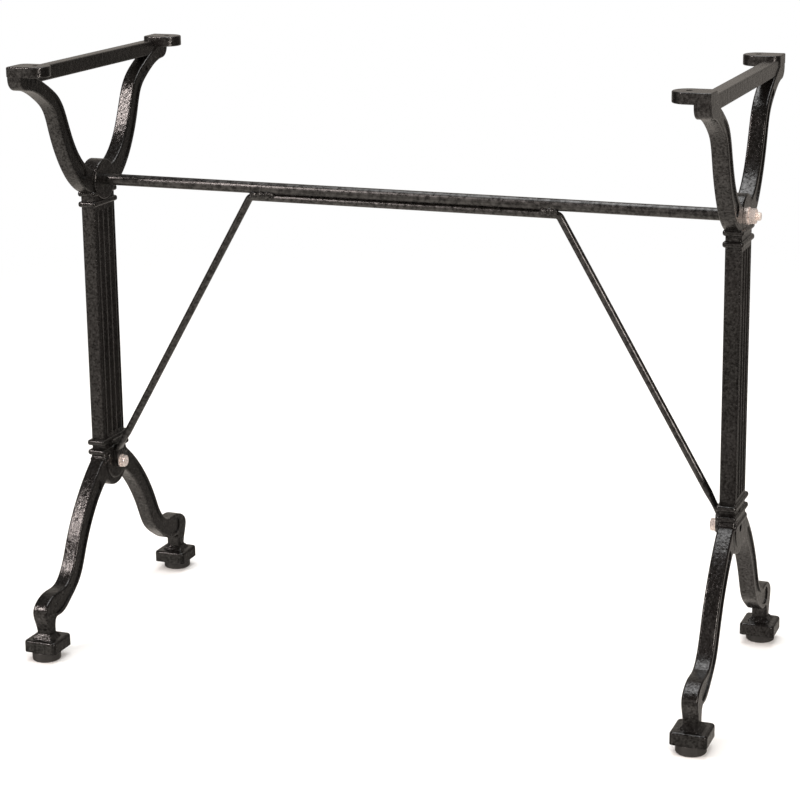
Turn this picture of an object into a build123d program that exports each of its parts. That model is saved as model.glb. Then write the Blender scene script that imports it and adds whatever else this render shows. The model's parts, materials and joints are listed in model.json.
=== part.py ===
from build123d import *
import math
import os

os.makedirs("parts", exist_ok=True)

# Driving dimensions in mm. X runs along the stretcher, Y along the end frames, Z up from the floor.

# Whole base
base_height = 720.0  # floor to the seats that carry the table top
frame_spacing = 800.0  # between the middle planes of the two end frames
stretcher_height = 561.5  # axis of the stretcher, and middle of the upper hubs
brace_bolt_height = 201.5  # axis of the brace bolts, and middle of the lower hubs

# End frame casting
frame_thickness = 18.5
edge_radius = 2.0  # rounding along the edges of the casting's faces
column_depth = 52.0
upper_boss_diameter = 50.0
lower_hub_diameter = 62.5  # round body that the legs and the column run into
lower_boss_diameter = 45.0
hub_proud = 0.3  # how far the hubs' round bodies stand out of the casting's faces
boss_proud = 2.8  # how far each hub's boss stands out of the inner face
outer_boss_proud = 1.2  # and the lower one out of the outer face
boss_rounding = 2.2
outer_boss_rounding = 0.6
bolt_hole_diameter = 10.5  # opening of the brace bolt's hole in the outer face
bolt_hole_depth = 4.5

# Top bar and the lugs that the table top is screwed to
bar_width = 16.0
bar_height = 17.5
bar_rounding = 2.0
lug_end = 183.0  # from the middle of the frame to the outer end of a lug
lug_raise = 5.0  # lug seats above the bar
lug_reach = 36.0  # from the frame's middle plane to the lug's round tip
lug_depth = 36.0
lug_thickness = 12.5
lug_rounding = 1.5
lug_heel_radius = 10.0  # corner of the raised seat towards the bar, on the outer side
screw_hole_diameter = 7.0

# Arms, from the hub to the lug's end: stations on the centre line as (share of the reach, share of the rise, width)
arm_shape = [
    (0.055, -0.015, 32.0),
    (0.268, 0.110, 25.5),
    (0.374, 0.279, 22.5),
    (0.475, 0.551, 21.0),
    (0.557, 0.772, 19.0),
    (0.672, 0.890, 17.5),
    (0.820, 0.990, 17.6),
    (1.000, 1.0515, 28.0),
]
arm_end_rounding = 14.0

# Legs, from the hub to the pad: stations as (share of the reach, share of the drop, width)
leg_shape = [
    (0.085, -0.006, 30.0),
    (0.262, 0.120, 24.5),
    (0.407, 0.283, 23.5),
    (0.533, 0.489, 23.5),
    (0.625, 0.655, 23.5),
    (0.750, 0.753, 23.0),
    (0.901, 0.787, 31.0),
    (0.997, 0.834, 29.5),
    (0.986, 0.943, 15.0),
    (0.986, 1.006, 16.0),
]

# Sunk panels in the faces of the arms and legs
arm_panel_stations = slice(1, 6)  # the stations that a panel runs along
leg_panel_stations = slice(1, 7)
panel_border = 5.0
panel_depth = 1.5

# Reeds up the faces of the column
reed_count = 4
reed_pitch = 12.2
reed_relief = 2.5  # depth of the valleys between the reeds
reeded_width = 45.0  # the plain strips beside it run along the column's edges
reed_stop = 9.0  # plain length between the reeds and the nearest collar's middle

# Collars round the column as (distance from the hub, how far they stand out of the narrow faces)
upper_collars = [(15.0, 4.0), (28.0, 4.0)]
lower_collars = [(6.5, 3.0), (17.5, 7.5), (30.0, 8.0)]
collar_face_proud = 2.5  # out of the broad faces, a little less than the bosses
collar_height = 7.0
collar_rounding = 3.0

# Feet
foot_reach = 175.5  # from the middle of the frame to the middle of a foot
pad_side = 42.0
pad_inset = 4.0  # from the glide's middle in to the pad's middle
pad_thickness = 14.5
pad_corner = 4.5
pad_rounding = 3.0  # along the edges of its top
ankle_flare = 4.5  # how far the leg spreads on to the pad
ankle_flare_overlap = 1.0  # how far its top runs into the leg
ankle_flare_height = 6.0
ankle_flare_rounding = 3.0
glide_diameter = 34.5
glide_height = 12.0
glide_rounding = 2.0
glide_stub_diameter = 10.0
glide_stub_length = 11.0
stub_clearance = 0.1

# Stretcher rod and its nuts
stretcher_diameter = 14.0
stretcher_thread_diameter = 10.0
stretcher_end_past_nut = 5.0
stretcher_chamfer = 1.0
hub_bore_clearance = 0.25
stretcher_washer_diameter = 20.0
stretcher_washer_thickness = 2.0
stretcher_nut_flats = 16.0
stretcher_nut_thickness = 8.0

# Brace rod and its bolts
brace_diameter = 9.0
brace_bend_half_span = 193.0  # from the middle of the stretcher to the corner of each bend
brace_bend_radius = 6.5
brace_weld_gap = 0.1  # between the brace and the stretcher that it is tacked to
eye_thickness = 5.0
eye_width = 18.0
eye_neck = 15.0  # from the bolt up to the end of the flattened part
flatten_length = 26.0  # height over which the round rod is forged flat
bolt_diameter = 8.0
bolt_head_flats = 13.0
bolt_head_thickness = 5.3
bolt_grip = 14.0  # length of thread in the casting
bolt_washer_diameter = 16.0
bolt_washer_thickness = 1.6
bolt_chamfer = 0.8
hex_bevel_angle = 30.0
washer_clearance = 0.5  # round a bolt or stud, in a washer or an eye
thread_clearance = 0.05  # between a thread's crest circle and what it is screwed into

# Derived places
half_spacing = frame_spacing / 2
half_thickness = frame_thickness / 2
boss_face = half_thickness + boss_proud
hub_face = half_thickness + hub_proud
outer_boss_face = half_thickness + outer_boss_proud
collar_face = half_thickness + collar_face_proud
bolt_hole_floor = half_thickness - bolt_hole_depth
bar_top = base_height - lug_raise
bar_bottom = bar_top - bar_height
pad_bottom = glide_height
pad_top = pad_bottom + pad_thickness
stretcher_nut_face = half_spacing + hub_face + stretcher_washer_thickness
stretcher_end = stretcher_nut_face + stretcher_nut_thickness + stretcher_end_past_nut
eye_face = half_spacing - boss_face
brace_washer_face = eye_face - eye_thickness
bolt_head_face = brace_washer_face - bolt_washer_thickness
lug_hole_in = lug_reach - lug_depth / 2
lug_middle = lug_end - lug_depth / 2
arm_rise = bar_bottom - stretcher_height
leg_drop = brace_bolt_height - pad_top
arm_stations = [(out * lug_end, stretcher_height + up * arm_rise, width) for out, up, width in arm_shape]
leg_stations = [(out * foot_reach, brace_bolt_height - down * leg_drop, width) for out, down, width in leg_shape]
collar_places = [(stretcher_height - drop, edge_proud) for drop, edge_proud in upper_collars]
collar_places += [(brace_bolt_height + rise, edge_proud) for rise, edge_proud in lower_collars]
reeds_top = stretcher_height - upper_collars[-1][0] - reed_stop
reeds_bottom = brace_bolt_height + lower_collars[-1][0] + reed_stop
reed_radius = (reed_pitch**2 / 4 + reed_relief**2) / (2 * reed_relief)


def limb_sides(stations, last_direction, border=0.0):
    """The two side lines of a limb and its direction at each station."""
    places = [Vector(out, up) for out, up, _ in stations]
    directions = [(places[1] - places[0]).normalized()]
    directions += [(after - before).normalized() for before, after in zip(places, places[2:])]
    directions.append(last_direction)
    first_side = []
    second_side = []
    for place, direction, station in zip(places, directions, stations):
        half_width = station[2] / 2 - border
        across = Vector(-direction.Y, direction.X) * half_width
        first_side.append(place + across)
        second_side.append(place - across)
    return first_side, second_side, directions


def limb_face(stations, last_direction):
    """Face of a limb in the open sketch, between smooth lines through its stations."""
    first_side, second_side, _ = limb_sides(stations, last_direction)
    with BuildLine() as limb_outline:
        Spline(*first_side)
        Spline(*second_side)
        Line(first_side[0], second_side[0])
        Line(first_side[-1], second_side[-1])
    make_face(limb_outline.edges())


def panel_face(stations):
    """Face of a sunk panel in the open sketch, inside a limb's border and with round ends."""
    last_direction = (Vector(*stations[-1][:2]) - Vector(*stations[-2][:2])).normalized()
    first_side, second_side, directions = limb_sides(stations, last_direction, panel_border)
    with BuildLine() as panel_outline:
        Spline(*first_side)
        Spline(*second_side)
        for end, sense in ((0, -1), (-1, 1)):
            middle = (first_side[end] + second_side[end]) / 2
            half_width = (first_side[end] - second_side[end]).length / 2
            tip = middle + directions[end] * sense * half_width
            ThreePointArc(first_side[end], tip, second_side[end])
    make_face(panel_outline.edges())


# One arm of an end frame, on the +Y side of X = 0
with BuildPart() as arm:
    with BuildSketch(Plane.YZ) as arm_outline:
        limb_face(arm_stations, Vector(1, 0))
        arm_end = arm_outline.vertices().group_by(Axis.X)[-1]
        fillet(arm_end.sort_by(Axis.Y)[0], radius=arm_end_rounding)
    extrude(amount=half_thickness, both=True)
    fillet(arm.edges().filter_by(GeomType.BSPLINE), radius=edge_radius)
    for face_side in (-1, 1):
        with BuildSketch(Plane.YZ.offset(face_side * half_thickness)):
            panel_face(arm_stations[arm_panel_stations])
        extrude(amount=-face_side * panel_depth, mode=Mode.SUBTRACT)

# One leg
with BuildPart() as leg:
    with BuildSketch(Plane.YZ):
        limb_face(leg_stations, Vector(0, -1))
    extrude(amount=half_thickness, both=True)
    fillet(leg.edges().filter_by(GeomType.BSPLINE), radius=edge_radius)
    for face_side in (-1, 1):
        with BuildSketch(Plane.YZ.offset(face_side * half_thickness)):
            panel_face(leg_stations[leg_panel_stations])
        extrude(amount=-face_side * panel_depth, mode=Mode.SUBTRACT)

# Column with reeds up both faces
with BuildPart() as column:
    with BuildSketch(Plane.XY.offset(brace_bolt_height)):
        Rectangle(frame_thickness, column_depth)
    extrude(amount=stretcher_height - brace_bolt_height)
    fillet(column.edges().filter_by(Axis.Z), radius=edge_radius)
    with BuildSketch(Plane.XY.offset(reeds_bottom)):
        for face_side in (-1, 1):
            with Locations((face_side * (half_thickness - reed_relief / 2), 0)):
                Rectangle(reed_relief, reeded_width)
        for face_side in (-1, 1):
            with Locations((face_side * (half_thickness - reed_radius), 0)):
                with GridLocations(reed_pitch, reed_pitch, 1, reed_count):
                    Circle(reed_radius, mode=Mode.SUBTRACT)
    extrude(amount=reeds_top - reeds_bottom, mode=Mode.SUBTRACT)

# Collar rings round the column
collar_rings = []
for height, edge_proud in collar_places:
    with BuildPart() as collar:
        with Locations((0, 0, height)):
            Box(frame_thickness + 2 * collar_face_proud, column_depth + 2 * edge_proud, collar_height)
        fillet(collar.edges().filter_by(Axis.Z), radius=collar_rounding)
        collar_rims = collar.edges().group_by(Axis.Z)
        fillet(collar_rims[0] + collar_rims[-1], radius=collar_rounding)
    collar_rings.append(collar.part)

# Top bar between the lugs
with BuildPart() as top_bar:
    with Locations((0, 0, (bar_top + bar_bottom) / 2)):
        Box(bar_width, 2 * lug_middle, bar_height)
    fillet(top_bar.edges().filter_by(Axis.Y), radius=bar_rounding)

# One lug, on the +Y side, with its round tip towards -X
with BuildPart() as lug:
    with BuildSketch(Plane.XY.offset(base_height - lug_thickness)) as lug_outline:
        with Locations(((half_thickness - lug_hole_in) / 2, lug_middle)):
            Rectangle(lug_hole_in + half_thickness, lug_depth)
        with Locations((-lug_hole_in, lug_middle)):
            Circle(lug_depth / 2)
        lug_heel = lug_outline.vertices().group_by(Axis.X)[-1].sort_by(Axis.Y)[0]
        fillet(lug_heel, radius=lug_heel_radius)
    extrude(amount=lug_thickness)
    fillet(lug.faces().filter_by(Axis.Z).edges(), radius=lug_rounding)

# The upper hub, with its boss on the inner side
with BuildPart() as upper_hub:
    with BuildSketch(Plane.YZ.offset(-boss_face)):
        with Locations((0, stretcher_height)):
            Circle(upper_boss_diameter / 2)
    extrude(amount=boss_face + hub_face)
    fillet(upper_hub.edges().filter_by(GeomType.CIRCLE), radius=boss_rounding)

# The round body of the lower hub
with BuildPart() as lower_hub:
    with BuildSketch(Plane.YZ.offset(-hub_face)):
        with Locations((0, brace_bolt_height)):
            Circle(lower_hub_diameter / 2)
    extrude(amount=2 * hub_face)
    fillet(lower_hub.edges().filter_by(GeomType.CIRCLE), radius=boss_rounding)

# The smaller boss through it, which stands out further on the inner side
with BuildPart() as lower_boss:
    with BuildSketch(Plane.YZ.offset(-boss_face)):
        with Locations((0, brace_bolt_height)):
            Circle(lower_boss_diameter / 2)
    extrude(amount=boss_face + outer_boss_face)
    fillet(lower_boss.faces().sort_by(Axis.X)[0].edges(), radius=boss_rounding)
    fillet(lower_boss.faces().sort_by(Axis.X)[-1].edges(), radius=outer_boss_rounding)

# One square pad, on the +Y side
with BuildPart() as pad:
    with Locations((0, foot_reach - pad_inset, (pad_bottom + pad_top) / 2)):
        Box(pad_side, pad_side, pad_thickness)
    fillet(pad.edges().filter_by(Axis.Z), radius=pad_corner)
    fillet(pad.faces().sort_by(Axis.Z)[-1].edges(), radius=pad_rounding)

# The spread foot of a leg on its pad
ankle_out, _, ankle_width = leg_stations[-1]
with BuildPart() as ankle:
    with BuildSketch(Plane.XY.offset(pad_top)) as ankle_outline:
        with Locations((0, ankle_out)):
            Rectangle(frame_thickness + 2 * ankle_flare, ankle_width + 2 * ankle_flare)
        fillet(ankle_outline.vertices(), radius=ankle_flare_rounding)
    flare_slope = (ankle_flare + ankle_flare_overlap) / ankle_flare_height
    extrude(amount=ankle_flare_height, taper=math.degrees(math.atan(flare_slope)))

# End frame casting for the right-hand end, made about X = 0 with its lugs towards -X
with BuildPart() as end_frame:
    add(column.part)
    add(top_bar.part)
    for hub_piece in (upper_hub, lower_hub, lower_boss):
        add(hub_piece.part)
    for limb in (arm, leg, lug, pad, ankle):
        add(limb.part)
        add(mirror(limb.part, about=Plane.XZ))
    for collar_ring in collar_rings:
        add(collar_ring)
    # Bore for the stretcher's threaded end
    with BuildSketch(Plane.YZ.offset(-boss_face)):
        with Locations((0, stretcher_height)):
            Circle(stretcher_thread_diameter / 2 + hub_bore_clearance)
    extrude(amount=boss_face + hub_face, mode=Mode.SUBTRACT)
    # Tapped bore for the brace bolt, right through to the wider opening in the outer face
    with BuildSketch(Plane.YZ.offset(-boss_face)):
        with Locations((0, brace_bolt_height)):
            Circle(bolt_diameter / 2 + thread_clearance)
    extrude(amount=boss_face + bolt_hole_floor, mode=Mode.SUBTRACT)
    with BuildSketch(Plane.YZ.offset(collar_face)):
        with Locations((0, brace_bolt_height)):
            Circle(bolt_hole_diameter / 2)
    extrude(amount=bolt_hole_floor - collar_face, mode=Mode.SUBTRACT)
    # Screw holes through the lugs
    with BuildSketch(Plane.XY.offset(base_height)):
        with Locations((-lug_hole_in, lug_middle), (-lug_hole_in, -lug_middle)):
            Circle(screw_hole_diameter / 2)
    extrude(amount=-lug_thickness, mode=Mode.SUBTRACT)
    # Sockets for the glides' stubs
    with BuildSketch(Plane.XY.offset(pad_bottom)):
        with Locations((0, foot_reach), (0, -foot_reach)):
            Circle(glide_stub_diameter / 2 + stub_clearance)
    extrude(amount=glide_stub_length + stub_clearance, mode=Mode.SUBTRACT)

# Stretcher rod: its shoulders bear on the hubs, and its threaded ends pass through them
with BuildPart() as stretcher_rod:
    with BuildSketch(Plane.YZ):
        with Locations((0, stretcher_height)):
            Circle(stretcher_diameter / 2)
    extrude(amount=half_spacing - boss_face, both=True)
    with BuildSketch(Plane.YZ):
        with Locations((0, stretcher_height)):
            Circle(stretcher_thread_diameter / 2)
    extrude(amount=stretcher_end, both=True)
    stretcher_rims = stretcher_rod.edges().filter_by(GeomType.CIRCLE).group_by(Axis.X)
    chamfer(stretcher_rims[0] + stretcher_rims[-1], length=stretcher_chamfer)


def hexagon(flats, thickness):
    """Hexagon blank on XY with its corners turned off at both ends, as on a nut or a bolt head."""
    corner_radius = flats / math.sqrt(3)
    corner_overhang = corner_radius - flats / 2
    with BuildPart() as turned_blank:
        with BuildSketch():
            Circle(corner_radius)
        extrude(amount=thickness)
        bevel_drop = corner_overhang * math.tan(math.radians(hex_bevel_angle))
        chamfer(turned_blank.faces().filter_by(Axis.Z).edges(), length=bevel_drop, length2=corner_overhang)
    with BuildPart() as hexagon_blank:
        with BuildSketch():
            RegularPolygon(flats / 2, 6, major_radius=False)
        extrude(amount=thickness)
        add(turned_blank.part, mode=Mode.INTERSECT)
    return hexagon_blank.part


# Washer and nut on the outer side of the right-hand upper hub
with BuildPart() as stretcher_washer:
    with BuildSketch(Plane.YZ.offset(half_spacing + hub_face)):
        with Locations((0, stretcher_height)):
            Circle(stretcher_washer_diameter / 2)
            Circle(stretcher_thread_diameter / 2 + washer_clearance, mode=Mode.SUBTRACT)
    extrude(amount=stretcher_washer_thickness)

with BuildPart() as stretcher_nut:
    with Locations(Plane.YZ.offset(stretcher_nut_face).location * Pos(0, stretcher_height)):
        add(hexagon(stretcher_nut_flats, stretcher_nut_thickness))
    with BuildSketch(Plane.YZ.offset(stretcher_nut_face)):
        with Locations((0, stretcher_height)):
            Circle(stretcher_thread_diameter / 2 + thread_clearance)
    extrude(amount=stretcher_nut_thickness, mode=Mode.SUBTRACT)

# Brace rod: a round rod under the stretcher, bent down at both ends, forged flat and bored at the tips
brace_run_height = stretcher_height - (stretcher_diameter + brace_diameter) / 2 - brace_weld_gap
eye_middle = eye_face - eye_thickness / 2
eye_top = brace_bolt_height + eye_neck
slope = Vector(eye_middle - brace_bend_half_span, 0, eye_top - brace_run_height).normalized()
slope_foot = Vector(eye_middle, 0, eye_top) - slope * flatten_length
with BuildPart() as brace_rod:
    with BuildLine() as brace_path:
        FilletPolyline(
            (-slope_foot.X, 0, slope_foot.Z),
            (-brace_bend_half_span, 0, brace_run_height),
            (brace_bend_half_span, 0, brace_run_height),
            (slope_foot.X, 0, slope_foot.Z),
            radius=brace_bend_radius,
        )
    with BuildSketch(Plane(origin=brace_path.line @ 0, z_dir=brace_path.line % 0)):
        Circle(brace_diameter / 2)
    sweep(path=brace_path.line)
    for side in (-1, 1):
        # Forged taper from round to flat
        with BuildSketch(Plane((side * slope_foot.X, 0, slope_foot.Z), (0, 1, 0), (side * slope.X, 0, slope.Z))):
            Circle(brace_diameter / 2)
        with BuildSketch(Plane((side * eye_middle, 0, eye_top), (0, 1, 0), (0, 0, -1))):
            SlotOverall(eye_width, eye_thickness)
        loft()
        # Flat eye
        with BuildSketch(Plane.YZ.offset(side * eye_middle)):
            with Locations((0, brace_bolt_height)):
                Circle(eye_width / 2)
            with Locations((0, brace_bolt_height + eye_neck / 2)):
                Rectangle(eye_width, eye_neck)
            with Locations((0, brace_bolt_height)):
                Circle(bolt_diameter / 2 + washer_clearance, mode=Mode.SUBTRACT)
        extrude(amount=eye_thickness / 2, both=True)

# Washer and bolt on the inner side of the right-hand lower hub
with BuildPart() as brace_washer:
    with BuildSketch(Plane.YZ.offset(brace_washer_face)):
        with Locations((0, brace_bolt_height)):
            Circle(bolt_washer_diameter / 2)
            Circle(bolt_diameter / 2 + washer_clearance, mode=Mode.SUBTRACT)
    extrude(amount=-bolt_washer_thickness)

with BuildPart() as brace_bolt:
    with Locations(Plane.YZ.offset(bolt_head_face - bolt_head_thickness).location * Pos(0, brace_bolt_height)):
        add(hexagon(bolt_head_flats, bolt_head_thickness))
    with BuildSketch(Plane.YZ.offset(bolt_head_face)):
        with Locations((0, brace_bolt_height)):
            Circle(bolt_diameter / 2)
    extrude(amount=bolt_washer_thickness + eye_thickness + bolt_grip)
    chamfer(brace_bolt.faces().sort_by(Axis.X)[-1].edges(), length=bolt_chamfer)

# One round glide, with the stub that is pushed into its pad, on the +Y side of X = 0
with BuildPart() as glide:
    with BuildSketch(Plane.XY):
        with Locations((0, foot_reach)):
            Circle(glide_diameter / 2)
    extrude(amount=glide_height)
    fillet(glide.edges().filter_by(GeomType.CIRCLE), radius=glide_rounding)
    with BuildSketch(Plane.XY.offset(glide_height)):
        with Locations((0, foot_reach)):
            Circle(glide_stub_diameter / 2)
    extrude(amount=glide_stub_length)

with BuildPart() as standing_frame:
    with Locations((half_spacing, 0, 0)):
        add(end_frame.part)

# The two long rods
for piece_name, piece in (("stretcher_rod", stretcher_rod), ("brace_rod", brace_rod)):
    piece.part.label = piece_name
    export_step(piece.part, f"parts/{piece_name}.step")

# Pieces that both ends have: the left end is the right end turned half round
end_pieces = {
    "end_frame": standing_frame,
    "stretcher_washer": stretcher_washer,
    "stretcher_nut": stretcher_nut,
    "brace_washer": brace_washer,
    "brace_bolt": brace_bolt,
}
for end_name, turn in (("right", 0), ("left", 180)):
    for piece_name, piece in end_pieces.items():
        with BuildPart() as placed_piece:
            with Locations(Rotation(0, 0, turn)):
                add(piece.part)
        placed_piece.part.label = f"{end_name}_{piece_name}"
        export_step(placed_piece.part, f"parts/{end_name}_{piece_name}.step")

# Glides under the four pads
for depth_name, depth_side in (("front", -1), ("back", 1)):
    for end_name, end_side in (("left", -1), ("right", 1)):
        with BuildPart() as placed_glide:
            with Locations((end_side * half_spacing, (depth_side - 1) * foot_reach, 0)):
                add(glide.part)
        placed_glide.part.label = f"{depth_name}_{end_name}_glide"
        export_step(placed_glide.part, f"parts/{depth_name}_{end_name}_glide.step")
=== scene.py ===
# %% [markdown]
# # A cast iron table base, dressed in Blender
#
# The base is two identical iron castings, joined by a round steel stretcher and a thinner bent brace.
# Its solids already have their true form, so Blender gives them their finish, cuts the fine threads,
# lays two small welds, and sets up the studio: a pale floor, soft lights and a camera.

import json
import math

import bpy
from mathutils import Matrix, Vector


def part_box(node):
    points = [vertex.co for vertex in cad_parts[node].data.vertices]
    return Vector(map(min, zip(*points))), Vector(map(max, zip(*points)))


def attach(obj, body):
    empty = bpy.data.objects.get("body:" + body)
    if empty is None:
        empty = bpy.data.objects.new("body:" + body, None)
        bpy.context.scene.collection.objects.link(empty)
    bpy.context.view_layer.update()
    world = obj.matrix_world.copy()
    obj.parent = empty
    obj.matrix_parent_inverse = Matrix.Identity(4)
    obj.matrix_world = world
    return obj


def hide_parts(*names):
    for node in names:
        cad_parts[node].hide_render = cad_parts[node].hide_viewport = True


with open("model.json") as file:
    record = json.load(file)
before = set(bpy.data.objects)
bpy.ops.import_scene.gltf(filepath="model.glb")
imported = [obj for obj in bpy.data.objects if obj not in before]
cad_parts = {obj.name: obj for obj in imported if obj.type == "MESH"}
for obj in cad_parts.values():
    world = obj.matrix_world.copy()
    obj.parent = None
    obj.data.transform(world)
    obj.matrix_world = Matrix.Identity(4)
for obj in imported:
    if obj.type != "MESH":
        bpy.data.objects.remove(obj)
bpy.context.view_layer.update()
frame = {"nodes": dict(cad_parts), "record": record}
nodes = frame["nodes"]
scene = bpy.context.scene
print("solids:", ", ".join(sorted(nodes)))

# %% [markdown]
# ## Units, colours and nodes
#
# Blender works in metres and in linear light, while a maker thinks in millimetres and picks colours
# as sRGB hex values. Two small functions turn one into the other.
# A third adds a shader node, with its settings and its links, so that each material below reads as a list.

# %% Small helpers
MM = 0.001


def linear(hex_colour):
    """An sRGB hex colour as linear red, green, blue and alpha."""
    shares = [int(hex_colour[i:i + 2], 16) / 255 for i in (1, 3, 5)]
    return [s / 12.92 if s <= 0.04045 else ((s + 0.055) / 1.055) ** 2.4 for s in shares] + [1.0]


def per_metre(size_mm):
    """Scale of a texture whose features are about this many millimetres across."""
    return 1000.0 / size_mm


def add_node(tree, kind, settings=None, inputs=None):
    """A new shader node. An input that is a socket is linked, and any other value is set."""
    node = tree.nodes.new(kind)
    for name, value in (settings or {}).items():
        setattr(node, name, value)
    for name, value in (inputs or {}).items():
        if isinstance(value, bpy.types.NodeSocket):
            tree.links.new(value, node.inputs[name])
        else:
            node.inputs[name].default_value = value
    return node


def new_material(name):
    """An empty material, its node tree and its place for the surface shader."""
    material = bpy.data.materials.new(name)
    material.use_nodes = True
    tree = material.node_tree
    tree.nodes.clear()
    output = add_node(tree, "ShaderNodeOutputMaterial")
    return material, tree, output.inputs["Surface"]


# %% [markdown]
# ## Black enamel on sand-cast iron
#
# The castings come out of a sand mould, so their skin keeps the sand's grain under the paint.
# Brushed-on black enamel rounds that grain off: light breaks up on it into small soft sparks, and a broad
# face looks warm dark grey rather than black. The grain could be modelled, but at about three millimetres
# it is far finer than the shapes, so it is a bump here. Slow waves in the skin and uneven gloss keep the
# faces from looking machined: the paint in the hollows between the grains hardly reflects, and on top of
# them it shines.

# %% Enamel on the castings
SAND_GRAIN_MM = 2.8  # real sand is finer; this is as coarse as it needs to be to show
SKIN_LUMP_MM = 6.5
SKIN_WAVE_MM = 22.0
PAINT_PATCH_MM = 60.0


def enamel_on_cast_iron():
    """Semi-gloss black paint over the grain of a sand casting."""
    material, tree, surface = new_material("black_enamel_on_cast_iron")
    place = add_node(tree, "ShaderNodeTexCoord").outputs["Object"]
    grain = add_node(tree, "ShaderNodeTexNoise", inputs={
        "Vector": place, "Scale": per_metre(SAND_GRAIN_MM), "Detail": 3.0, "Roughness": 0.6})
    lump = add_node(tree, "ShaderNodeTexNoise", inputs={
        "Vector": place, "Scale": per_metre(SKIN_LUMP_MM), "Detail": 2.0, "Roughness": 0.5})
    wave = add_node(tree, "ShaderNodeTexNoise", inputs={
        "Vector": place, "Scale": per_metre(SKIN_WAVE_MM), "Detail": 2.0, "Roughness": 0.5})
    patch = add_node(tree, "ShaderNodeTexNoise", inputs={
        "Vector": place, "Scale": per_metre(PAINT_PATCH_MM), "Detail": 4.0, "Roughness": 0.55})
    paint = add_node(tree, "ShaderNodeValToRGB", inputs={"Fac": patch.outputs["Fac"]})
    paint.color_ramp.elements[0].position = 0.32
    paint.color_ramp.elements[0].color = linear("#090807")
    paint.color_ramp.elements[1].position = 0.68
    paint.color_ramp.elements[1].color = linear("#151312")
    gloss = add_node(tree, "ShaderNodeMapRange", inputs={
        "Value": grain.outputs["Fac"], "From Min": 0.3, "From Max": 0.7, "To Min": 0.15, "To Max": 0.28})
    shine = add_node(tree, "ShaderNodeMapRange", inputs={
        "Value": grain.outputs["Fac"], "From Min": 0.34, "From Max": 0.66, "To Min": 0.12, "To Max": 0.9})
    skin = add_node(tree, "ShaderNodeBump", inputs={
        "Height": wave.outputs["Fac"], "Strength": 0.35, "Distance": 0.9 * MM})
    lumps = add_node(tree, "ShaderNodeBump", inputs={
        "Height": lump.outputs["Fac"], "Strength": 0.7, "Distance": 0.5 * MM,
        "Normal": skin.outputs["Normal"]})
    sand = add_node(tree, "ShaderNodeBump", inputs={
        "Height": grain.outputs["Fac"], "Strength": 0.9, "Distance": 0.28 * MM,
        "Normal": lumps.outputs["Normal"]})
    shader = add_node(tree, "ShaderNodeBsdfPrincipled", inputs={
        "Base Color": paint.outputs["Color"], "Roughness": gloss.outputs["Result"], "IOR": 1.5,
        "Specular IOR Level": shine.outputs["Result"], "Normal": sand.outputs["Normal"]})
    tree.links.new(shader.outputs["BSDF"], surface)
    return material


casting_enamel = enamel_on_cast_iron()
print("made", casting_enamel.name)

# %% [markdown]
# ## Black enamel on drawn steel
#
# The stretcher and the brace are drawn bars: round and even, with faint marks along their length.
# The same paint lies smoother on them, so each shows one clean streak of light, a little broken up
# by brush marks. Stretching a noise texture along the bar gives those marks.
#
# The stretcher's two ends, past the castings, are left bare and bright like the nuts on them. The paint
# stops at a place along the bar, so the distance from the middle chooses between paint and bare metal.

# %% Enamel on the rods
DRAW_MARK_MM = 1.6
BRUSH_MARK_MM = 5.0
PAINT_ENDS_MM = 409.4  # from the middle of the base to the outer faces of the hubs


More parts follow.
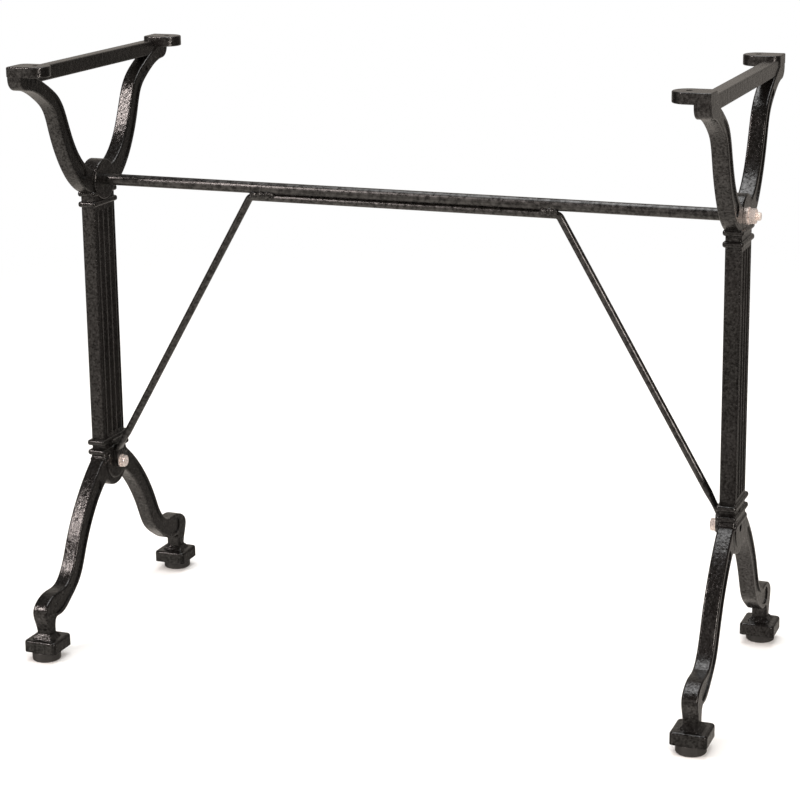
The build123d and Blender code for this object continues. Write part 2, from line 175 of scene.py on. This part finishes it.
def enamel_on_drawn_steel():
    """Black paint over a drawn steel bar, smoother than on the castings."""
    material, tree, surface = new_material("black_enamel_on_drawn_steel")
    place = add_node(tree, "ShaderNodeTexCoord").outputs["Object"]
    brush = add_node(tree, "ShaderNodeTexNoise", inputs={
        "Vector": place, "Scale": per_metre(BRUSH_MARK_MM), "Detail": 3.0, "Roughness": 0.55})
    along = add_node(tree, "ShaderNodeMapping", inputs={"Vector": place, "Scale": (0.12, 1.0, 1.0)})
    drawn = add_node(tree, "ShaderNodeTexNoise", inputs={
        "Vector": along.outputs["Vector"], "Scale": per_metre(DRAW_MARK_MM), "Detail": 2.0})
    paint = add_node(tree, "ShaderNodeValToRGB", inputs={"Fac": brush.outputs["Fac"]})
    paint.color_ramp.elements[0].position = 0.3
    paint.color_ramp.elements[0].color = linear("#0f0e0d")
    paint.color_ramp.elements[1].position = 0.7
    paint.color_ramp.elements[1].color = linear("#1a1816")
    gloss = add_node(tree, "ShaderNodeMapRange", inputs={
        "Value": brush.outputs["Fac"], "From Min": 0.3, "From Max": 0.7, "To Min": 0.24, "To Max": 0.36})
    shine = add_node(tree, "ShaderNodeMapRange", inputs={
        "Value": brush.outputs["Fac"], "From Min": 0.36, "From Max": 0.64, "To Min": 0.3, "To Max": 1.0})
    marks = add_node(tree, "ShaderNodeBump", inputs={
        "Height": drawn.outputs["Fac"], "Strength": 0.3, "Distance": 0.15 * MM})
    skin = add_node(tree, "ShaderNodeBump", inputs={
        "Height": brush.outputs["Fac"], "Strength": 0.35, "Distance": 0.3 * MM,
        "Normal": marks.outputs["Normal"]})
    shader = add_node(tree, "ShaderNodeBsdfPrincipled", inputs={
        "Base Color": paint.outputs["Color"], "Roughness": gloss.outputs["Result"], "IOR": 1.5,
        "Specular IOR Level": shine.outputs["Result"], "Normal": skin.outputs["Normal"]})
    metal = add_node(tree, "ShaderNodeBsdfPrincipled", inputs={
        "Base Color": linear("#f4e8e0"), "Roughness": 0.3, "Metallic": 0.6})
    along_x = add_node(tree, "ShaderNodeSeparateXYZ", inputs={"Vector": place})
    outward = add_node(tree, "ShaderNodeMath", {"operation": "ABSOLUTE"}, {0: along_x.outputs["X"]})
    bare = add_node(tree, "ShaderNodeMath", {"operation": "GREATER_THAN"}, {
        0: outward.outputs["Value"], 1: PAINT_ENDS_MM * MM})
    both = add_node(tree, "ShaderNodeMixShader", inputs={
        0: bare.outputs["Value"], 1: shader.outputs["BSDF"], 2: metal.outputs["BSDF"]})
    tree.links.new(both.outputs["Shader"], surface)
    return material


rod_enamel = enamel_on_drawn_steel()
print("made", rod_enamel.name)

# %% [markdown]
# ## Bright zinc plating
#
# The nuts, washers and bolts are not painted. Zinc plating is a soft, slightly warm silver with a satin
# sheen and a fine cloudiness from the plating bath. Zinc soon grows a thin chalky film, and that film
# scatters light like a powder. So part of what the eye sees is that pale film over the metal.

# %% Zinc on the fasteners
ZINC_CLOUD_MM = 1.8
BARE_SHARE = 0.6  # the rest is covered by the film


def bright_zinc():
    """Satin zinc plating on steel fasteners."""
    material, tree, surface = new_material("bright_zinc_plating")
    place = add_node(tree, "ShaderNodeTexCoord").outputs["Object"]
    cloud = add_node(tree, "ShaderNodeTexNoise", inputs={
        "Vector": place, "Scale": per_metre(ZINC_CLOUD_MM), "Detail": 3.0, "Roughness": 0.6})
    plating = add_node(tree, "ShaderNodeValToRGB", inputs={"Fac": cloud.outputs["Fac"]})
    plating.color_ramp.elements[0].position = 0.3
    plating.color_ramp.elements[0].color = linear("#dccdc5")
    plating.color_ramp.elements[1].position = 0.7
    plating.color_ramp.elements[1].color = linear("#f6ebe4")
    sheen = add_node(tree, "ShaderNodeMapRange", inputs={
        "Value": cloud.outputs["Fac"], "From Min": 0.3, "From Max": 0.7, "To Min": 0.2, "To Max": 0.34})
    shader = add_node(tree, "ShaderNodeBsdfPrincipled", inputs={
        "Base Color": plating.outputs["Color"], "Roughness": sheen.outputs["Result"],
        "Metallic": BARE_SHARE})
    tree.links.new(shader.outputs["BSDF"], surface)
    return material


zinc = bright_zinc()
print("made", zinc.name)

# %% [markdown]
# ## Black polyethylene glides
#
# The round glides under the pads are moulded in black polyethylene. The plastic is waxy: dark, even and
# softly shiny, with a slight orange-peel from the mould.

# %% Polyethylene on the glides
ORANGE_PEEL_MM = 3.0


def black_polyethylene():
    """Moulded plastic of the glides."""
    material, tree, surface = new_material("black_polyethylene")
    place = add_node(tree, "ShaderNodeTexCoord").outputs["Object"]
    peel = add_node(tree, "ShaderNodeTexNoise", inputs={
        "Vector": place, "Scale": per_metre(ORANGE_PEEL_MM), "Detail": 2.0})
    tint = add_node(tree, "ShaderNodeValToRGB", inputs={"Fac": peel.outputs["Fac"]})
    tint.color_ramp.elements[0].color = linear("#1f1d1c")
    tint.color_ramp.elements[1].color = linear("#2a2826")
    waxy = add_node(tree, "ShaderNodeMapRange", inputs={
        "Value": peel.outputs["Fac"], "From Min": 0.3, "From Max": 0.7, "To Min": 0.4, "To Max": 0.5})
    skin = add_node(tree, "ShaderNodeBump", inputs={
        "Height": peel.outputs["Fac"], "Strength": 0.25, "Distance": 0.2 * MM})
    shader = add_node(tree, "ShaderNodeBsdfPrincipled", inputs={
        "Base Color": tint.outputs["Color"], "Roughness": waxy.outputs["Result"], "IOR": 1.51,
        "Normal": skin.outputs["Normal"]})
    tree.links.new(shader.outputs["BSDF"], surface)
    return material


polyethylene = black_polyethylene()
print("made", polyethylene.name)

# %% [markdown]
# ## Dressing the solids
#
# Each solid already names the finish slot that it belongs to in the record, so one dictionary from slot to
# material dresses them all.

# %% Give every solid its finish
finish_of_slot = {
    "casting": casting_enamel,
    "rod": rod_enamel,
    "fastener": zinc,
    "glide": polyethylene,
}
for subpart in frame["record"]["subparts"]:
    solid = nodes[subpart["node"]]
    solid.data.materials.clear()
    solid.data.materials.append(finish_of_slot[subpart["material_slot"]])
    print(solid.name, "->", solid.data.materials[0].name)

# %% [markdown]
# ## A tube from rings of points
#
# Both pieces that Blender adds, the threaded stretcher and the welds, are round bars whose radius changes
# along their length. A curve with a bevel could give a plain bar, but not a thread. So one function takes
# rings of points, joins each ring to the next with four-sided faces, and closes both ends. Faces that meet
# at more than a set angle keep a crisp edge, and all others are shaded smooth.

# %% Tube helper
CRISP_EDGE_DEG = 40


def grid_mesh(name, rings):
    """A closed tube through rings of points, with flat ends."""
    count = len(rings[0])
    points = [point for ring in rings for point in ring]
    faces = []
    for i in range(len(rings) - 1):
        for j in range(count):
            k = (j + 1) % count
            faces.append((i * count + j, i * count + k, (i + 1) * count + k, (i + 1) * count + j))
    faces.append(tuple(reversed(range(count))))
    faces.append(tuple(range(len(points) - count, len(points))))
    mesh = bpy.data.meshes.new(name)
    mesh.from_pydata(points, [], faces)
    mesh.shade_smooth()
    mesh.set_sharp_from_angle(angle=math.radians(CRISP_EDGE_DEG))
    made = bpy.data.objects.new(name, mesh)
    scene.collection.objects.link(made)
    return made


print("a tube's edges stay crisp above", CRISP_EDGE_DEG, "degrees")

# %% [markdown]
# ## The stretcher's threads
#
# The solid has plain ends as wide as the thread's crests, which is all that a fit needs. The real thread
# is a helix with a pitch of a millimetre and a half. It could be a screw modifier on a small profile, but a
# rod is simply a radius for each place along it and each angle round it, so one tube gives body and threads
# together. Its sizes are measured from the solid that it stands for.

# %% Cut the threads
THREAD_PITCH_MM = 1.5
THREAD_DEPTH_MM = 0.92  # for a metric thread, 0.613 of the pitch
CREST_SHARE = 0.125  # the flat top of the thread, as a share of the pitch
FLANK_SHARE = 0.625  # its two slanting sides together; the rest is the flat bottom
CHAMFER_MM = 1.0
STEPS_ROUND = 64
STEPS_PER_PITCH = 8
NEARLY_BODY = 0.95  # a point this far out, of the widest radius, belongs to the plain body


def threaded_rod(solid):
    """The stretcher with helical threads on both ends."""
    places = [solid.matrix_world @ vertex.co for vertex in solid.data.vertices]
    end = max(place.x for place in places)
    height = (max(place.z for place in places) + min(place.z for place in places)) / 2
    radii = [(abs(place.x), math.hypot(place.y, place.z - height)) for place in places]
    body = max(radius for _, radius in radii)
    shoulder = max(x for x, radius in radii if radius > NEARLY_BODY * body)
    crest = max(radius for x, radius in radii if x > shoulder + MM)
    step = THREAD_PITCH_MM * MM / STEPS_PER_PITCH
    count = math.ceil((end - shoulder) / step)
    thread = [shoulder + (end - shoulder) * i / count for i in range(count + 1)]
    stations = [(-x, False) for x in reversed(thread)] + [(-shoulder, True), (shoulder, True)]
    stations += [(x, False) for x in thread]
    rings = []
    for x, is_body in stations:
        ring = []
        for j in range(STEPS_ROUND):
            angle = 2 * math.pi * j / STEPS_ROUND
            off_crest = abs((x / (THREAD_PITCH_MM * MM) - j / STEPS_ROUND) % 1.0 - 0.5) * 2
            slope = (off_crest - CREST_SHARE) / FLANK_SHARE
            groove = min(1.0, max(0.0, slope)) * THREAD_DEPTH_MM * MM
            radius = body if is_body else min(crest - groove, crest - CHAMFER_MM * MM + end - abs(x))
            ring.append((x, radius * math.cos(angle), height + radius * math.sin(angle)))
        rings.append(ring)
    widths = [round(2 * size / MM, 1) for size in (body, crest, end)]
    print("rod, thread and length in mm:", widths)
    return grid_mesh("threaded_stretcher", rings)


stretcher = threaded_rod(nodes["stretcher_rod"])
stretcher.data.materials.append(rod_enamel)
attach(stretcher, "root")
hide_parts("stretcher_rod")

# %% [markdown]
# ## Welds at the bends
#
# At both bends the brace is welded to the stretcher, and the dark line between the two rods closes up
# there. A hand-laid weld is a row of overlapping puddles. A tube that swells and shrinks along its length,
# painted with the rods, gives that lumpy look, and it sits in the hollow between the two round bars.

# %% Shape of a weld
WELD_RADIUS_MM = 5.2
WELD_OUT_MM = 3.6  # in front of the rods' middle plane
WELD_SIDES = 24
PUDDLE_MM = 9.5  # from one puddle to the next
RIPPLE_MM = 3.7
MEAN_SWELL, PUDDLE_SWELL, RIPPLE_SWELL = 0.82, 0.2, 0.07  # shares of the weld's radius
WANDER_MM, WANDER_HEIGHT_MM = 13.0, 0.6  # over this length, the weld strays up and down by this height
END_POWER = 6  # a higher power keeps the weld full for longer before it tapers
END_LEAST = 0.02
rod_low, brace_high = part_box("stretcher_rod")[0][2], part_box("brace_rod")[1][2]
hollow = (rod_low + brace_high) / 2


def weld_ring(x, run):
    """Points round the weld at x millimetres; run goes from -1 at its one end to 1 at the other."""
    taper = math.sqrt(max(END_LEAST, 1 - run**END_POWER))
    puddle = PUDDLE_SWELL * math.sin(2 * math.pi * x / PUDDLE_MM)
    ripple = RIPPLE_SWELL * math.sin(2 * math.pi * x / RIPPLE_MM + 1)
    radius = WELD_RADIUS_MM * taper * (MEAN_SWELL + puddle + ripple) * MM
    height = hollow + WANDER_HEIGHT_MM * math.sin(2 * math.pi * x / WANDER_MM) * MM
    angles = [2 * math.pi * j / WELD_SIDES for j in range(WELD_SIDES)]
    return [(x * MM, -WELD_OUT_MM * MM + radius * math.cos(a), height + radius * math.sin(a)) for a in angles]


print("hollow between the rods at", round(hollow / MM, 1), "mm")

# %% Lay the welds
WELD_SPANS_MM = {"left_weld": (-192.0, -160.0), "right_weld": (171.0, 193.0)}
RINGS_PER_MM = 2
for weld_name, (first, last) in WELD_SPANS_MM.items():
    count = round((last - first) * RINGS_PER_MM)
    rings = [weld_ring(first + (last - first) * i / count, 2 * i / count - 1) for i in range(count + 1)]
    weld = grid_mesh(weld_name, rings)
    weld.data.materials.append(rod_enamel)
    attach(weld, "root")
    print(weld_name, [round(d / MM, 1) for d in weld.dimensions])

# %% [markdown]
# ## The pale floor
#
# A plain white sweep keeps the eye on the casting. It is only a stage, not a part of the object.

# %% Floor
FLOOR_HALF = 3.0
FADE_FROM = 1.2
FADE_TO = 2.6


def white_floor():
    """A plain, matt floor under the glides that fades into the white room."""
    material, tree, surface = new_material("matt_white_paper")
    place = add_node(tree, "ShaderNodeTexCoord").outputs["Object"]
    distance = add_node(tree, "ShaderNodeVectorMath", {"operation": "LENGTH"}, {"Vector": place})
    fade = add_node(tree, "ShaderNodeMapRange", {"interpolation_type": "SMOOTHSTEP"}, {
        "Value": distance.outputs["Value"], "From Min": FADE_FROM, "From Max": FADE_TO})
    paper = add_node(tree, "ShaderNodeBsdfPrincipled", inputs={
        "Base Color": linear("#f4f3f1"), "Roughness": 0.9})
    clear = add_node(tree, "ShaderNodeBsdfTransparent")
    blend = add_node(tree, "ShaderNodeMixShader", inputs={"Fac": fade.outputs["Result"]})
    tree.links.new(paper.outputs["BSDF"], blend.inputs[1])
    tree.links.new(clear.outputs["BSDF"], blend.inputs[2])
    tree.links.new(blend.outputs["Shader"], surface)
    mesh = bpy.data.meshes.new("floor")
    corners = [(x * FLOOR_HALF, y * FLOOR_HALF, 0.0) for x, y in ((-1, -1), (1, -1), (1, 1), (-1, 1))]
    mesh.from_pydata(corners, [], [(0, 1, 2, 3)])
    mesh.materials.append(material)
    floor = bpy.data.objects.new("floor", mesh)
    scene.collection.objects.link(floor)
    return floor


floor = white_floor()
print("floor", floor.dimensions[:])

# %% [markdown]
# ## Soft studio light
#
# Black paint shows its shape by what it reflects. A narrow softbox, high on the front left, puts long soft
# glints on every face that leans back towards it. A weak wide one in front opens up the front faces. A
# narrow strip on the right draws bright lines along the edges and brightens the fasteners, and one
# overhead lights the floor. The floor itself is left out of reflections: in the next step, a glow from
# below stands in for it.

# %% Lights
AIM = Vector((0.0, 0.0, 0.4))


def softbox(name, place, width, height, watts, tint):
    """A rectangular area light at a place, turned towards the middle of the base."""
    light = bpy.data.lights.new(name, "AREA")
    light.shape = "RECTANGLE"
    light.size = width
    light.size_y = height
    light.energy = watts
    light.color = linear(tint)[:3]
    lamp = bpy.data.objects.new(name, light)
    lamp.location = place
    lamp.rotation_euler = (AIM - Vector(place)).to_track_quat("-Z", "Y").to_euler()
    scene.collection.objects.link(lamp)
    return lamp


softbox("key_softbox", place=(-1.75, -2.2, 2.45), width=0.26, height=1.3, watts=54.0, tint="#fff1ec")
softbox("front_panel", place=(-0.6, -4.4, 1.2), width=5.0, height=2.4, watts=22.0, tint="#fff3ea")
softbox("right_strip", place=(2.7, -2.0, 1.3), width=0.3, height=1.8, watts=75.0, tint="#fff3ea")
softbox("overhead_softbox", place=(0.0, 0.3, 3.6), width=2.6, height=2.6, watts=84.0, tint="#ffffff")
floor.visible_glossy = False

# %% [markdown]
# ## The room in the paint
#
# Between the glints, glossy paint mirrors the room. An even white room would turn the base grey, and a black
# one would leave only glints. This room is dark, with three soft glows: low on the front left, behind, and
# below, where a pale floor would be. Each glow is a share that rises as the direction turns towards it.
# Only reflections see that room. To the camera the background is plain white, and all other rays get an
# even light.

# %% Glows of the room
ROOM_DARK = 0.07
ROOM_FRONT_LEFT = 0.6
ROOM_FRONT = 0.12
ROOM_BEHIND = 0.38
ROOM_BELOW = 0.7
world = bpy.data.worlds.new("studio")
world.use_nodes = True
world.cycles.sampling_method = "NONE"
scene.world = world
room = world.node_tree
room.nodes.clear()
direction = add_node(room, "ShaderNodeTexCoord").outputs["Generated"]
towards = add_node(room, "ShaderNodeSeparateXYZ", inputs={"Vector": direction})
rises = {  # axis of the direction, where the rise starts and ends on it, and the share there
    "front": ("Y", -0.1, -0.6, 0.0, 1.0),
    "low": ("Z", 0.3, 0.0, 0.0, 1.0),
    "front_left": ("X", 0.0, -0.6, ROOM_FRONT, ROOM_FRONT + ROOM_FRONT_LEFT),
    "back": ("Y", 0.3, 0.8, 0.0, 1.0),
    "behind": ("X", 0.55, 0.05, 0.0, ROOM_BEHIND),
    "below": ("Z", -0.3, -0.8, ROOM_DARK, ROOM_DARK + ROOM_BELOW),
}
share = {}
for name, (axis, start, full, least, most) in rises.items():
    rise = add_node(room, "ShaderNodeMapRange", inputs={
        "Value": towards.outputs[axis], "From Min": start, "From Max": full, "To Min": least, "To Max": most})
    share[name] = rise.outputs["Result"]
print("glows:", ", ".join(share))

# %% Put the room together
EVEN_LIGHT = 0.7
WHITE = linear("#ffffff")
low_front = add_node(room, "ShaderNodeMath", {"operation": "MULTIPLY"}, {0: share["front"], 1: share["low"]})
behind = add_node(room, "ShaderNodeMath", {"operation": "MULTIPLY"}, {0: share["back"], 1: share["behind"]})
glow = add_node(room, "ShaderNodeMath", {"operation": "MULTIPLY_ADD"}, {
    0: low_front.outputs["Value"], 1: share["front_left"], 2: behind.outputs["Value"]})
shade = add_node(room, "ShaderNodeMath", {"operation": "ADD"}, {0: glow.outputs["Value"], 1: share["below"]})
mirrored = add_node(room, "ShaderNodeBackground", inputs={
    "Color": linear("#fff5ea"), "Strength": shade.outputs["Value"]})
even = add_node(room, "ShaderNodeBackground", inputs={"Color": WHITE, "Strength": EVEN_LIGHT})
backdrop = add_node(room, "ShaderNodeBackground", inputs={"Color": WHITE, "Strength": 1.0})
ray = add_node(room, "ShaderNodeLightPath")
around = add_node(room, "ShaderNodeMixShader", inputs={
    0: ray.outputs["Is Glossy Ray"], 1: even.outputs["Background"], 2: mirrored.outputs["Background"]})
seen = add_node(room, "ShaderNodeMixShader", inputs={
    0: ray.outputs["Is Camera Ray"], 1: around.outputs["Shader"], 2: backdrop.outputs["Background"]})
add_node(room, "ShaderNodeOutputWorld", inputs={"Surface": seen.outputs["Shader"]})
scene.view_settings.view_transform = "Standard"
print("room of", len(room.nodes), "nodes")

# %% [markdown]
# ## The camera
#
# The photograph was taken from the front right, a little above the top, with a long lens. The camera's
# place, turn and focal length come from matching the feet, columns and bars to that view. The lens is
# shifted a little, because the view is cropped low.

# %% Camera
CAMERA_PLACE_MM = (925.3, -2373.8, 1022.3)
CAMERA_TURN_DEG = 21.346  # to the left of straight ahead
CAMERA_TILT_DEG = -13.454  # looking down
CAMERA_ROLL_DEG = -0.694
FOCAL_PIXELS = 2218.8
PICTURE_PIXELS = 800
SENSOR_MM = 36.0
LENS_SHIFT = -0.1

turn, tilt, roll = (math.radians(a) for a in (CAMERA_TURN_DEG, CAMERA_TILT_DEG, CAMERA_ROLL_DEG))
ahead = Vector((-math.sin(turn) * math.cos(tilt), math.cos(turn) * math.cos(tilt), math.sin(tilt)))
level = Vector((math.cos(turn), math.sin(turn), 0.0))
upright = level.cross(ahead)
across = math.cos(roll) * level + math.sin(roll) * upright
upward = -math.sin(roll) * level + math.cos(roll) * upright

lens = bpy.data.cameras.new("camera")
lens.sensor_width = SENSOR_MM
lens.lens = FOCAL_PIXELS / PICTURE_PIXELS * SENSOR_MM
lens.shift_y = LENS_SHIFT
camera = bpy.data.objects.new("camera", lens)
rotation = Matrix((across, upward, -ahead)).transposed().to_4x4()
camera.matrix_world = Matrix.Translation(Vector(CAMERA_PLACE_MM) * MM) @ rotation
scene.collection.objects.link(camera)
scene.camera = camera
print("lens", round(lens.lens, 1), "mm")
